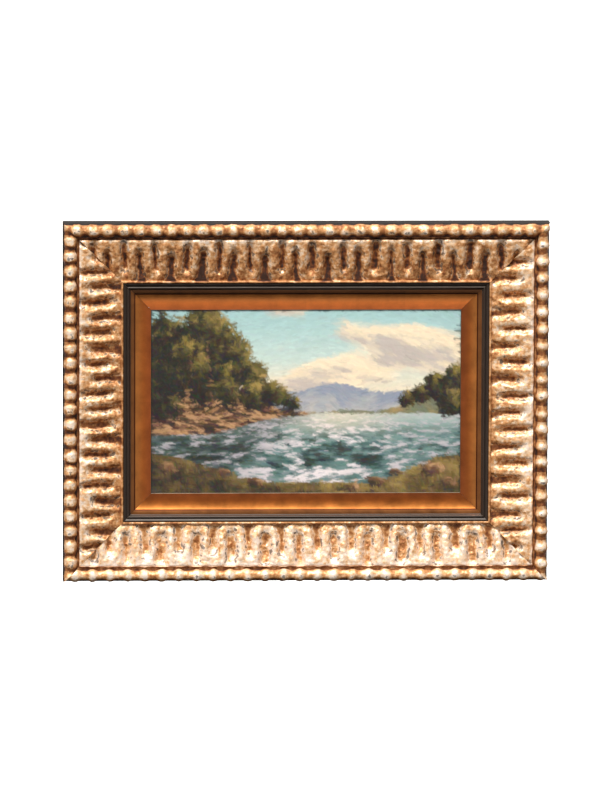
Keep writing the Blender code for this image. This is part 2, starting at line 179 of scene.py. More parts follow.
# Rounds a corner of a section, so that edges catch the light
def roundedCorner(before, corner, after, radius, steps=4):
    before, corner, after = Vector(before), Vector(corner), Vector(after)
    start = corner + (before - corner).normalized() * radius
    end = corner + (after - corner).normalized() * radius
    return [tuple(start.lerp(corner, t).lerp(corner.lerp(end, t), t)) for t in np.linspace(0, 1, steps + 1)]


# Section points no further apart than the spacing
def filledIn(points, spacing):
    result = [points[0]]
    for start, end in zip(points, points[1:]):
        count = max(1, math.ceil((Vector(end) - Vector(start)).length / spacing))
        result += [tuple(Vector(start).lerp(Vector(end), step / count)) for step in range(1, count + 1)]
    return result


# One mitred length as a closed mesh along X. A row is a section point, the way that carving moves it, how far
# it is bead and ribbon, and its finish. Columns past a mitre meet in one point of the mitre's plane.
def mitredCage(name, rows, length, spacing):
    rows = np.array(rows, float)
    inward, height = rows[:, 0], rows[:, 1]
    reach = length / 2 - inward - whole["mitreGap"]
    columns = int(length / 2 / spacing)
    along = np.arange(-columns, columns + 1) * spacing
    inside = np.abs(along)[None, :] < reach[:, None] - spacing * 0.3
    index = np.zeros(inside.shape, int)
    places, rowOf, ends = [], [], []
    for row, keep in enumerate(inside):
        kept = np.flatnonzero(keep)
        first = len(places)
        values = [-reach[row], *along[kept], reach[row]]
        places += [(x, -height[row], -inward[row]) for x in values]
        rowOf += [row] * len(values)
        ends += [1.0] + [0.0] * len(kept) + [1.0]
        index[row, :kept[0]] = first
        index[row, kept] = np.arange(first + 1, first + 1 + len(kept))
        index[row, kept[-1] + 1:] = first + 1 + len(kept)
    faces, finish = [], []
    for row in range(len(rows)):
        following = (row + 1) % len(rows)
        a, b = index[row], index[following]
        for corners in zip(a[:-1], b[:-1], b[1:], a[1:]):
            face = [c for i, c in enumerate(corners) if c != corners[i - 1]]
            if len(face) > 2:
                faces.append(face)
                finish.append(int(rows[row, 6]))
    faces += [list(index[:, 0][::-1]), list(index[:, -1])]
    finish += [int(rows[:, 6].max())] * 2
    mesh = bpy.data.meshes.new(name)
    mesh.from_pydata(places, [], faces)
    places, rowOf = np.array(places), np.array(rowOf)
    way = np.stack([np.zeros(len(rowOf)), -rows[rowOf, 3], -rows[rowOf, 2]], 1)
    railPlace = np.stack([places[:, 0], inward[rowOf], height[rowOf]], 1)
    for label, kind, values in (("railPlace", "FLOAT_VECTOR", railPlace), ("carveWay", "FLOAT_VECTOR", way),
                                ("beadShare", "FLOAT", rows[rowOf, 4]), ("ribbonShare", "FLOAT", rows[rowOf, 5]),
                                ("onMitre", "FLOAT", np.array(ends))):
        data = mesh.attributes.new(label, kind, "POINT").data
        data.foreach_set("vector" if kind == "FLOAT_VECTOR" else "value", values.astype(np.float32).ravel())
    mesh.polygons.foreach_set("material_index", np.array(finish, np.int32))
    return mesh


def newPiece(name, mesh):
    piece = bpy.data.objects.new(name, mesh)
    bpy.context.scene.collection.objects.link(piece)
    return piece


def finishPiece(piece, node, sharpDegrees=50):
    piece.data.shade_smooth()
    piece.data.set_sharp_from_angle(angle=math.radians(sharpDegrees))
    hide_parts(node)
    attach(piece, "root")


# Silver leaf on red bole over gesso, toned with gold varnish and rubbed: pale champagne on what stands out, warm gold
# on the slopes, red-brown bole and grime in the hollows, grey-black where the leaf has tarnished. Painted shade and
# painted highlights from the carving's stored tone darken and lighten the same ramp.
gilding = {
    "silver": "#f0d9c4", "champagne": "#e7c39d", "gold": "#cb925c", "ochre": "#965c2e", "bole": "#683619",
    "grime": "#3a2012", "tarnish": "#3b3736", "metallic": 0.34, "roughest": 0.60, "smoothest": 0.34,
    "cloudSize": 0.018, "flakeSize": 0.0062, "blotSize": 0.0075, "brushLines": 0.0012, "relief": 0.0014,
}
# The worn blots bare the metal with bright silver round them. The stored grime and painted light, blurred by the
# clouds and flakes, picks the tone: grime in the hollows, and painted shade and painted highlights that the carving
# sets by rail and on the undersides.
gildingFinish = newMaterial("toned silver leaf on bole", gilding,
                            {**inObject, "recess": ("recess", "Fac"), "rubbed": ("rubbed", "Fac")}, """
    clouds = noise place 1/cloudSize 5 0.62
    flakes = noise place 1/flakeSize 3.5 0.55
    fine = noise place 1/brushLines 3
    patches = noise place 1/blotSize 2.5 0.55 0.3, it * rubbed
    worn = rise patches 0.55 0.65 0 0.75
    deep = rise patches 0.42 0.54 0 -0.16, recess * 0.5 + it
    tone = clouds - 0.63, it + deep, flakes * 0.88 + it
    leaf = ramp tone 0.05 silver 0.22 champagne 0.42 gold 0.62 ochre 0.84 bole 1 grime
    colour = mix worn leaf tarnish
    rough = span flakes 0.3 0.7 smoothest roughest
    normal = fine * 0.35 + flakes, bump it relief 0.8
    """, Metallic=gilding["metallic"])

# Softwood stained black-brown and rubbed with wax: dull, with grain along the rail and paler scuffs
stain = {"dark": "#1a1512", "worn": "#3a2e26", "grainSize": 0.0011, "grainWay": (0.05, 1, 1), "roughness": 0.65}
stainFinish = newMaterial("black stained softwood", stain, alongRail, """
    grain = stretch place grainWay, noise it 1/grainSize 4
    mixed = noise place 60 8 0.7, grain * it
    colour = ramp mixed 0.18 dark 0.45 worn
    normal = bump grain 0.0004 0.6
    """, Roughness=stain["roughness"], Specular_IOR_Level=0.3)

# Planed pine, unfinished and brown with age: straight grain lines, a little dust, no gloss
pine = {"pale": "#c39a66", "dark": "#8a5e34", "dirt": "#5b4330", "ringGap": 0.0035, "roughness": 0.75}
railBackFinish, barFinish, uprightFinish = [newMaterial("aged pine, " + name, {**pine, "grainWay": way}, reads, """
    rings = stretch place grainWay, noise it 1/ringGap 6 0.5 0.4
    dust = noise place 14 6
    wood = ramp rings 0.36 dark 0.62 pale
    colour = span dust 0.45 0.75 0 0.6, mix it wood dirt
    normal = bump rings 0.0005 0.5
    """, Roughness=pine["roughness"]) for name, reads, way in (
        ("along the rail", alongRail, (0.04, 1, 1)), ("level", inObject, (0.06, 1, 1)),
        ("upright", inObject, (1, 1, 0.06)))]
print("wood and gilding ready")

# Carved rail: bosses along the outer edge, a groove, a rim, a ribbon that winds between two rows of pockets, a lip.
# Four values in brackets are for the top, right, bottom and left rail.
rail = {
    "spacing": 0.00113, "beadWidth": 0.025, "beadCentre": 0.0434, "groove": 0.0424, "rimHeight": 0.0484,
    "foot": 0.0367, "bulge": 0.0028, "edge": 0.098, "lipHeight": 0.0379, "seat": 0.0312, "body": 0.089,
    "rimRound": 0.0019, "rimRoundWidth": 0.0036, "sideInset": (0.0005, 0.0024, 0.0024, 0.0005),
    # the inputs of the carving tree; tones make a place darker, and where they differ by rail they are painted shade
    # and painted light. Under says which way is down for each rail, along it and towards the picture, and how far
    # round its bosses the painted shade on their undersides reaches
    "carving": {
        "beadPitch": (0.0253, 0.0274, 0.0279, 0.0248), "patternOffset": (0.0095, -0.0096, 0.0099, 0.0142),
        "seed": (3, 7, 12, 21), "neckDepth": 0.0029, "beadLength": (0.99, 0.84, 0.80, 0.99),
        "bossFlat": (0.30, 0.04, 0.04, 0.34), "outerFill": (0.6, 0, 0, 0.6), "ribbonStart": 0.027, "lipStart": 0.0945,
        "pocketWidth": (0.0098, 0.0104, 0.0124, 0.0106), "pocketFlare": (0.0050, 0.0014, 0.0066, 0.0014),
        "pocketMouth": 0.016, "rimWall": (0.0056, 0.0036, 0.0036, 0.0036), "rimTurn": 0.0200, "lipTurn": 0.0165,
        "rimCorner": 0.0040, "lipCorner": 0.0044, "rimDepth": 0.0044, "lipDepth": 0.0028, "bellyDepth": 0.0026,
        "pocketFloor": 0.0322, "grooveLine": 0.0252, "lumps": 0.0027, "gouges": 0.0015,
        "sway": 0.0050, "lean": 0.0088, "toolMarks": 0.0006, "rimRoll": 0.0004,
        # tone, beadTone and lipTone are painted shade and painted light by rail, the top darkest; pocketTone scales
        # the grime of the pocket floors as painted shade; neckTone is warm toning and painted shade
        "tone": (0.29, 0.09, -0.18, 0.19), "beadTone": (0, -0.22, 0.06, -0.16), "neckTone": (0.24, 0.32, 0.34, 0.44),
        "lipTone": (0.16, 0.24, 0.50, 0.24), "pocketTone": (1, 0.70, 0.54, 0.70),
        "underAlong": (0, 1, 0, -1), "underInward": (1, 0, -1, 0), "underFrom": (0.35, -0.20, 0.20, -0.20),
    },
}


def ribbonTop(inward):
    start = rail["carving"]["ribbonStart"]
    share = (inward - start) / (rail["carving"]["lipStart"] - start)
    slope = rail["rimHeight"] + (rail["foot"] - rail["rimHeight"]) * share
    rounding = max(0.0, 1 - (inward - start) / rail["rimRoundWidth"]) ** 2 * rail["rimRound"]
    return slope + 4 * share * (1 - share) * rail["bulge"] - rounding


# Rows: inward, height, way inward, way up, bead share, ribbon share, finish (0 gilt, 1 stain, 2 bare wood)
def railRows(number):
    r = {**rail, **rail["carving"]}
    inset = r["sideInset"][number]
    radius = r["beadWidth"] / 2
    neck = radius - r["neckDepth"]
    rows = [(inset, 0.0008, 0, 0, 0, 0, 1)]
    start, end = math.radians(-25), math.radians(184)
    top = r["beadCentre"] + radius * math.sin(start)
    rows += [(inset, height, 0, 0, 0, 0, 1) for height in np.linspace(0.004, top, 5)]
    for angle in np.linspace(start, end, 40):
        way = (-math.cos(angle), math.sin(angle))
        rows.append((radius + way[0] * neck, r["beadCentre"] + way[1] * neck, *way, 1, 0, 0))
    toRim = filledIn([(r["beadWidth"] - 0.0012, r["groove"] - 0.0002), (r["beadWidth"], r["groove"]),
                      (r["ribbonStart"] - 0.0006, ribbonTop(r["ribbonStart"]) - 0.0008)], 0.0010)
    rows += [(*point, -0.7, 0.5, 0, 0, 0) for point in toRim]
    for inward in np.arange(r["ribbonStart"], r["lipStart"] - 0.0002, 0.00098):
        rows.append((inward, ribbonTop(inward), 0, 1, 0, 1, 0))
    lip = [(r["lipStart"], r["foot"])]
    lip += roundedCorner(lip[0], (r["lipStart"] + 0.0008, r["lipHeight"]), (r["edge"], r["lipHeight"]), 0.0010, 3)
    lip += roundedCorner((r["lipStart"], r["lipHeight"]), (r["edge"], r["lipHeight"]), (r["edge"], r["seat"]),
                         0.0013, 4)
    rows += [(*point, 0, 0.6, 0, 0, 0) for point in lip]
    rows += [(r["edge"], r["seat"], 0, 0, 0, 0, 2), (r["body"], r["seat"], 0, 0, 0, 0, 2)]
    rows += [(r["body"], 0.0, 0, 0, 0, 0, 2), (inset + 0.0008, 0.0, 0, 0, 0, 0, 2)]
    return rows


# Where a point lies in its cell of the pattern, for the pockets at the rim, those at the lip, and the bosses
cellSteps = """
along = xOf railPlace
inward = yOf railPlace
height = zOf railPlace
wayUp = yOf carveWay
wayBack = zOf carveWay
facing = wayUp * -1
wayInward = wayBack * -1
where = point along inward seed
drift = noise where 30 4
drift2 = noiseColour where 30 4, greenOf it
lumpy = noise where 75 2
chips = noise where 170 3
marks = noise where 420 3
gouged = cells where 120
swayedAlong = drift * 2 + -1, it * sway + along
swayedInward = drift2 * 2 + -1, it * sway + inward
shifted = swayedAlong - patternOffset
wave = beadPitch * 2
phase = shifted / wave
rimCell = round phase
rimAlong = phase - rimCell
halfPhase = phase - 0.5
lipCell = round halfPhase
lipAlong = halfPhase - lipCell
beadPhase = shifted / beadPitch
beadCell = round beadPhase
beadTurn = beadPhase - beadCell
rimSeed = rimCell * 1.37 + seed
lipSeed = lipCell * 2.91 + seed
beadSeed = beadCell * 4.53 + seed
"""

# The sign @ stands for rim, lip or bead
randomSteps = """
@Colour = randomColour @Seed
@RandomX = redOf @Colour
@RandomY = greenOf @Colour
@RandomZ = blueOf @Colour
"""

formSteps = """
leanShare = span swayedInward ribbonStart lipStart, it - 0.5
rimHalf = pocketWidth * 0.5
rimBegin = ribbonStart + rimWall
rimEnd = lipStart - lipTurn
mouth = lipStart - pocketMouth, span swayedInward it lipStart, it * it
lipHalf = mouth * pocketFlare + rimHalf
lipBegin = ribbonStart + rimTurn
lipEnd = lipStart + 0.01
"""

# The distance from a pocket, which is a slot with rounded ends that leans and wavers at random
pocketSteps = """
@Across = @Along * wave
@Bent = @RandomY - 0.5, it * leanShare, it * lean + @Across
@Moved = @RandomX * 0.0026 + @Bent
@Centred = @Moved - 0.0013
@Side = abs @Centred
@Half = @RandomY * 0.5 + 0.76, @Half * it
@Begin = @RandomZ * 0.008 + -0.0035, @Begin + it
@Length = @End - @Begin
@Reach = @Length * 0.5
@Away = @Begin + @Reach, swayedInward - it, abs it
@X = @Side - @Half, it + @Corner
@Y = @Away - @Reach, it * 0.5 + @Corner
@XOut = max @X 0
@YOut = max @Y 0
@Outside = @XOut * @XOut, @YOut * @YOut + it, sqrt it
@Sum = max @X @Y, min it 0, @Outside + it
@Distance = @Sum - @Corner
"""

# How far each point moves along its way, how dark its tone is from grime in the hollows and from painted shade and
# painted highlights, and how much it is rubbed
# Painted light in these steps: a painted highlight along the rim; the ribbon darker towards the lip and lighter
# towards the rim; grime in the pocket floors, scaled by pocketTone, which is painted shade, most on the top rail;
# painted shade on the undersides of the bosses; necks darker, partly warm toning and partly painted shade; darker
# where the bead roll turns back towards the wall, and in the groove; tone, beadTone and lipTone are painted shade and
# painted light by rail.
reliefSteps = """
ribbonMark = chips * -0.0016 + 0.0003
distance = min rimDistance lipDistance
edgeDistance = lumpy * 0.0052 + -0.0037, chips * 0.0022 + it, distance + it
standing = rise edgeDistance -0.005 0.0052
sunk = 1 - standing
crownHigh = edgeDistance / 0.0082, max it 0, min it 1
crownFall = 1 - crownHigh, it * it
ribbonWidth = lipStart - ribbonStart
share = inward - ribbonStart, it / ribbonWidth
otherShare = 1 - share
belly4 = share * otherShare, it * 4
depth = rimDepth * otherShare, lipDepth * share + it, belly4 * bellyDepth + it
pocketFall = lumpy + 0.52, depth * it, sunk * it
ribbonFall = crownFall * 0.0036 + pocketFall
rollRise = rise inward 0.0298 0.0274, it * standing, it * rimRoll
lumpMark = marks * toolMarks, lumpy * lumps + it
ribbonLow = gouged * gouges + lumpMark, ribbonFall + it, it - rollRise
ribbonMove = height - pocketFloor, min ribbonLow it, it * -1
beadMoved = beadRandomX * 0.07 + beadTurn
beadCentred = beadMoved - 0.035
beadSide = abs beadCentred
beadAway = beadSide * 2
beadReach = beadRandomY * -0.12 + beadLength
boss = rise beadAway beadReach bossFlat
neck = 1 - boss
bossSize = beadRandomZ * -0.22 + 1
bossFull = rise wayInward -0.35 -0.9, it * outerFill, max boss it
beadMove = bossFull * bossSize, it * neckDepth, it - lumpMark
plainShare = 1 - beadShare, it - ribbonShare
waved = beadTurn * 6.2832, cos it, it * 0.0006 + ribbonMark
move = plainShare * waved, beadMove * beadShare + it, ribbonMove * ribbonShare + it
crease = rise sunk 0.45 1
wallFar = span inward 0.0958 0.0946
creaseShare = span inward 0.094 0.0945, wallFar * it, max it ribbonShare
creaseHere = crease * pocketTone, it * creaseShare
slopeTone = share * 0.38 + -0.17
ribbonRecess = rise inward 0.0335 0.0285, it * -0.26 + slopeTone, it * ribbonShare + creaseHere
neckRecess = rise facing 0.4 -0.2, neck * neckTone + it
underAcross = wayInward * underInward
beadEnd = beadCentred * 2
underness = beadEnd * underAlong + underAcross
lowRecess = underness - underFrom, rise it 0 0.8, it * 0.65 + neckRecess
bossRubbed = rise facing 0.55 0.98, it * boss
beadRecess = bossRubbed * -0.3 + lowRecess, it + beadTone, it * beadShare + ribbonRecess
grooveNear = inward - grooveLine, abs it, rise it 0.0022 0.0008
grooveRecess = lumpy * 1.3, grooveNear * it, it * plainShare + beadRecess
recess = span inward lipStart 0.0955, it * lipTone + grooveRecess, it + tone
ribbonRubbed = crownFall * standing, it * 0.6 + 0.78, it * ribbonShare
bossWorn = rise underness -0.5 0.05, it * 0.4 + 0.68, bossRubbed * it
rubbed = bossWorn * beadShare + ribbonRubbed
"""

# What has been carved past a mitre goes back to the mitre's plane
placeSteps = """
xNow = xOf position
yNow = yOf position
zNow = zOf position
plane = halfLength + zNow
minusPlane = plane * -1
keptBoth = min xNow plane, max it minusPlane
toMitre = sign xNow, it * plane, it - keptBoth
mitrePlace = toMitre * onMitre + keptBoth, point it yNow zNow
"""


def socketName(key):
    return "".join(" " + c.lower() if c.isupper() else c for c in key).capitalize()


def carvingTree():
    tree = bpy.data.node_groups.new("carved rail", "GeometryNodeTree")
    tree.is_modifier = True
    numbers = ["halfLength", *rail["carving"]]
    sockets = [("Geometry", "NodeSocketGeometry")] + [(socketName(key), "NodeSocketFloat") for key in numbers]
    sockets += [(name, "NodeSocketMaterial") for name in railFinishes]
    for name, kind in sockets:
        tree.interface.new_socket(name, in_out="INPUT", socket_type=kind)
    tree.interface.new_socket("Geometry", in_out="OUTPUT", socket_type="NodeSocketGeometry")
    start = addNode(tree, "NodeGroupInput")
    known = {key: start.outputs[socketName(key)] for key in numbers}
    for name, kind in (("railPlace", "FLOAT_VECTOR"), ("carveWay", "FLOAT_VECTOR"), ("beadShare", "FLOAT"),
                       ("ribbonShare", "FLOAT"), ("onMitre", "FLOAT")):
        read = addNode(tree, "GeometryNodeInputNamedAttribute", {"data_type": kind}, {"Name": name})
        known[name] = next(s for s in read.outputs if s.enabled and s.name == "Attribute")
    runSteps(tree, known, cellSteps)
    for steps, cells in ((randomSteps, ("rim", "lip", "bead")), (formSteps, ("",)), (pocketSteps, ("rim", "lip")),
                         (reliefSteps, ("",))):
        for cell in cells:
            runSteps(tree, known, steps.replace("@", cell))
    offset = addNode(tree, "ShaderNodeVectorMath", {"operation": "SCALE"}, {0: known["carveWay"],
                                                                           "Scale": known["move"]})
    geometry = addNode(tree, "GeometryNodeSetPosition", inputs={"Geometry": start.outputs["Geometry"],
                                                               "Offset": offset.outputs[0]}).outputs[0]
    known["position"] = addNode(tree, "GeometryNodeInputPosition").outputs[0]
    runSteps(tree, known, placeSteps)
    geometry = addNode(tree, "GeometryNodeSetPosition", inputs={"Geometry": geometry,
                                                               "Position": known["mitrePlace"]}).outputs[0]
    for name in ("recess", "rubbed"):
        store = addNode(tree, "GeometryNodeStoreNamedAttribute", {"data_type": "FLOAT", "domain": "POINT"},
                        {"Name": name})
        tree.links.new(geometry, store.inputs["Geometry"])
        tree.links.new(known[name], next(s for s in store.inputs if s.enabled and s.name == "Value"))
        geometry = store.outputs[0]
    geometry = addNode(tree, "GeometryNodeRealizeInstances", inputs={0: geometry}).outputs[0]
    slotIndex = addNode(tree, "GeometryNodeInputMaterialIndex").outputs[0]
    for index, name in enumerate(railFinishes):
        chosen = addNode(tree, "FunctionNodeCompare", {"data_type": "INT", "operation": "EQUAL"})
        pair = [s for s in chosen.inputs if s.enabled and s.name in "AB"]
        tree.links.new(slotIndex, pair[0])
        pair[1].default_value = index
        geometry = addNode(tree, "GeometryNodeSetMaterial", inputs={
            "Geometry": geometry, "Selection": chosen.outputs[0], "Material": start.outputs[name]}).outputs[0]
    tree.links.new(geometry, addNode(tree, "NodeGroupOutput").inputs[0])
    return tree


def makeRails():
    tree = carvingTree()
    inputs = {item.name: item.identifier for item in tree.interface.items_tree if item.in_out == "INPUT"}
    for number, side in enumerate(sideTurns):
        cage = mitredCage("carved_rail_" + side, railRows(number), sideLength(side), rail["spacing"])
        piece = newPiece("carved_rail_" + side, cage)
        carving = piece.modifiers.new("carving", "NODES")
        carving.node_group = tree
        carving[inputs["Half length"]] = sideLength(side) / 2 - whole["mitreGap"]
        for key, value in rail["carving"].items():
            carving[inputs[socketName(key)]] = float(value[number] if isinstance(value, tuple) else value)
        for name, finish in railFinishes.items():
            cage.materials.append(finish)
            carving[inputs[name]] = finish
        graph = bpy.context.evaluated_depsgraph_get()
        mesh = bpy.data.meshes.new_from_object(piece.evaluated_get(graph))
        piece.modifiers.clear()
        piece.data = mesh
        mesh.transform(sidePlace(side))
        finishPiece(piece, "frame_rail_" + side, 60)
        print("rail", side, len(mesh.polygons), "faces")


railFinishes = {"Gilding": gildingFinish, "Side stain": stainFinish, "Bare wood": railBackFinish}
makeRails()

# Black moulding, wood stained black and waxed: near black, satin, browner where the stain is rubbed off
ebony = {"black": "#261b14", "rubbedTo": "#5c4a3c", "sheen": "#fff0e0", "grainSize": 0.0008, "grainWay": (0.04, 1, 1)}
moulding = {"start": 0.0983, "edge": 0.110, "shoulder": 0.0309, "quirk": 0.0339, "top": 0.0359, "foot": 0.0309,
            "seat": 0.0283, "back": 0.004, "outer": 0.0893, "body": 0.101, "spacing": 0.004}
ebonyFinish = newMaterial("ebonised wood, waxed", ebony, alongRail, """
    grain = stretch place grainWay, noise it 1/grainSize 3
    wear = noise place 110 8 0.75
    colour = ramp wear 0.60 black 0.78 rubbedTo
    rough = span wear 0 1 0.3 0.6
    normal = bump grain 0.0002 0.5
    """, Coat_Weight=0.25, Coat_Roughness=0.25, Specular_Tint=linear(ebony["sheen"]))


# From the lip: a quirk, a band that falls a little, a groove, a small round ridge, and a hollow down to the slip
def mouldingSection():
    m = moulding
    band, groove, ridge, hollow = [m["start"] + along for along in (0.0007, 0.0049, 0.0058, 0.0094)]
    bandTop, ridgeTop = m["top"] - 0.0002, m["top"] - 0.0008
    points = [(m["outer"], m["back"]), (m["outer"], m["shoulder"]), (m["start"], m["shoulder"]),
              (m["start"], m["quirk"]), (band - 0.0002, m["quirk"]), (band, bandTop - 0.0004)]
    points += [(band + 0.0004 + (groove - band - 0.0004) * t, bandTop - 0.0021 * t ** 1.8)
               for t in np.linspace(0, 1, 8)]
    points += [(groove + 0.0001, bandTop - 0.0027), (ridge - 0.0002, bandTop - 0.0027)]
    middle, half = (ridge + hollow) / 2, (hollow - ridge) / 2
    points += [(middle - half * math.cos(a), ridgeTop - half + half * math.sin(a)) for a in np.linspace(0.0, 2.6, 11)]
    begin = points[-1]
    points += [(begin[0] + (m["edge"] - begin[0]) * t, m["foot"] + (begin[1] - m["foot"]) * (1 - t) ** 1.6)
               for t in np.linspace(0.1, 1, 10)]
    points += [(m["edge"], m["seat"]), (m["body"], m["seat"]), (m["body"], m["back"])]
    return points


# Slip, copper-coloured leaf on gesso under an orange varnish: a warm metal sheen, leaf laps across the length,
# a duller ochre on the outer fillet and a redder tone towards the picture
leaf = {"gold": "#d1803c", "copper": "#c86c2c", "red": "#b45c2c", "fillet": "#8c562c", "line": "#4c1f08",
        "edge": "#8b7a64", "metallic": 0.86, "smoothest": 0.24, "roughest": 0.49, "lapWidth": 0.080,
        "grainSize": 0.0006, "grainWay": (0.08, 1, 1),
        # painted light, rail by rail: top, right, bottom, left. filletTone is a painted shadow on the top's fillet
        # under the black moulding; outerTone darkens the top's outer curve and is a painted highlight on the bottom's;
        # flatTone is a painted reflection on the top's inner part and painted shade on the other rails'
        "outerTone": (0.72, 0.92, 1.42, 0.96), "flatTone": (1.36, 0.68, 0.74, 0.86),
        "filletTone": (0.50, 1.10, 1.15, 1.15)}
slip = {"start": 0.1013, "edge": 0.1435, "fillet": 0.0065, "filletFall": 0.0019, "top": 0.0280, "front": 0.0221,
        "quirk": 0.0004, "seat": 0.0206, "back": 0.006, "body": 0.1387, "curve": 3.6, "slope": 0.22, "spacing": 0.004}

# The finish's bands, as shares of the slip's width
filletEnd = slip["fillet"] / (slip["edge"] - moulding["edge"])
bands = {"slipStart": moulding["edge"], "slipEdge": slip["edge"], "filletEnd": filletEnd,
         "varnishEnd": filletEnd + 0.06, "stopA": filletEnd - 0.035, "stopB": filletEnd - 0.012,
         "stopC": filletEnd + 0.022, "stopD": filletEnd + 0.045}
paintedSideLight = ("outerTone", "flatTone", "filletTone")
# The step named varnish is painted light: it scales the leaf's colour rail by rail with the painted side light above.
leafFinish = newMaterial("copper leaf under varnish", {**leaf, **bands},
                         {**alongRail, **{tone: (tone, "Fac") for tone in paintedSideLight}}, """
    along = xOf place
    across = yOf place, span it slipStart slipEdge
    base = ramp across 0 fillet stopA fillet stopB line stopC line stopD gold 0.32 gold 0.62 copper 0.97 red 0.985 edge
    clouds = noise place 45 6 0.6
    lapTone = along / lapWidth, floor it, random it
    light = lapTone * 0.14 + clouds, span it 0.3 0.85 0.78 1.22
    varnish = rise across 0.36 0.72 outerTone flatTone, rise across filletEnd varnishEnd filletTone it
    colour = varnish * light, shaded base it
    rough = span clouds 0 1 smoothest roughest
    normal = stretch place grainWay, noise it 1/grainSize 2, bump it 0.00012 0.5
    """, Metallic=leaf["metallic"], Coat_Weight=0.2, Coat_Roughness=0.3)


def slipSection():
    s = slip
    start = moulding["edge"]
    fillet = start + s["fillet"]
    points = [(s["start"], s["back"]), (s["start"], s["top"]), (start - 0.001, s["top"])]
    low = s["top"] - s["filletFall"]
    points += roundedCorner(points[-1], (fillet, low), (fillet, low - s["quirk"]), 0.0004)
    points += [(fillet + 0.0002, low - s["quirk"] * 1.3)]
    top = low - s["quirk"]
    points += [(fillet + s["quirk"] + (s["edge"] - 0.0006 - fillet - s["quirk"]) * t,
                s["front"] + (top - s["front"]) * ((1 - s["slope"]) * (1 - t) ** s["curve"] + s["slope"] * (1 - t)))
               for t in np.linspace(0, 1, 30)]
    points += [(s["edge"], s["front"] - 0.0006), (s["edge"], s["seat"]), (s["body"], s["seat"]),
               (s["body"], s["back"])]
    return points


def makeLengths(name, node, section, spacing, finishes, bareFrom):
    rows = [(*point, 0, 0, 0, 0, 1 if index < bareFrom[0] or index >= bareFrom[1] else 0)
            for index, point in enumerate(section)]
    for number, side in enumerate(sideTurns):
        mesh = mitredCage(name + side, rows, sideLength(side), spacing)
        for tone in paintedSideLight:
            data = mesh.attributes.new(tone, "FLOAT", "POINT").data
            data.foreach_set("value", np.full(len(data), leaf[tone][number], np.float32))
        for finish in finishes:
            mesh.materials.append(finish)
        mesh.transform(sidePlace(side))
        finishPiece(newPiece(name + side, mesh), node + side, 35)


blackSection, gildedSection = mouldingSection(), slipSection()
makeLengths("ebonised_moulding_", "black_moulding_", blackSection, moulding["spacing"],
            (ebonyFinish, railBackFinish), (1, len(blackSection) - 3))
makeLengths("copper_slip_", "gilt_slip_", gildedSection, slip["spacing"],
            (leafFinish, railBackFinish), (1, len(gildedSection) - 2))
print("mouldings made")

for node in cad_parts:
    if node.startswith("stretcher"):
        piece = bpy.data.objects[node]
        upright = node in ("stretcher_bar_left", "stretcher_bar_right")
        for slotIndex in range(len(piece.material_slots)):
            piece.material_slots[slotIndex].material = uprightFinish if upright else barFinish

# A quiet lake in oils. Sizes are in picture heights, from the top left, and colours are the paints on the palette.
picture = {
    "width": 800, "height": 482, "seed": 11, "horizon": 0.56,
    "skyTop": "#a3c4c0", "skyMid": "#c3d2c6", "skyLow": "#ecd6b4", "cloudLit": "#f6dcb8", "cloudShade": "#bfb0a4",
    "hillFar": "#8b929f", "hillMist": "#bfb8ac", "hillNear": "#6f7258", "hillWarm": "#9c8556",
    "waterFar": "#b4bdb4", "waterMid": "#6f8d86", "waterNear": "#2f4544", "glint": "#e9dcd8", "lilac": "#a79ca4",
    "treeDark": "#231d13", "treeMid": "#47401f", "treeLit": "#786832", "treeSun": "#a88a4a",
    "rockDark": "#35251a", "rockMid": "#6d4a30", "rockLit": "#b98d62", "bankDark": "#2c2416", "bankMid": "#6a542c",
    "bankLit": "#a08648",
    "strokes": [(2600, 17, 5.2, 0.020), (7000, 10, 2.9, 0.028), (15000, 5.5, 1.5, 0.035)],
}


# Smooth random values between 0 and 1, summed over finer and finer grids
def softNoise(rng, cell, stretch=1.0, octaves=5, roughness=0.55):
    rows, columns = np.mgrid[0:picture["height"], 0:picture["width"]].astype(float)
    total, weight = 0.0, 0.0
    for octave in range(octaves):
        y, x = rows / cell * 2 ** octave, columns / (cell * stretch) * 2 ** octave
        lattice = rng.random((int(y.max()) + 2, int(x.max()) + 2))
        y0, x0 = y.astype(int), x.astype(int)
        fy, fx = [f * f * (3 - 2 * f) for f in (y - y0, x - x0)]
        upper = lattice[y0, x0] * (1 - fx) + lattice[y0, x0 + 1] * fx
        lower = lattice[y0 + 1, x0] * (1 - fx) + lattice[y0 + 1, x0 + 1] * fx
        total = total + (upper * (1 - fy) + lower * fy) * roughness ** octave
        weight += roughness ** octave
    return total / weight


def smoothStep(value, low, high):
    t = np.clip((value - low) / (high - low), 0, 1)
    return t * t * (3 - 2 * t)


# Lays one paint over another by a mask
def lay(under, paint, mask):
    paint = np.array(linear(picture[paint])[:3]) if isinstance(paint, str) else paint
    return under + (paint - under) * np.clip(mask, 0, 1)[..., None]


# Paints that pass into each other as the value goes from 0 to 1
def paintRamp(value, names):
    colours = np.array([linear(picture[name])[:3] for name in names.split()])
    stops = np.linspace(0, 1, len(colours))
    return np.stack([np.interp(value, stops, colours[:, i]) for i in range(3)], -1)


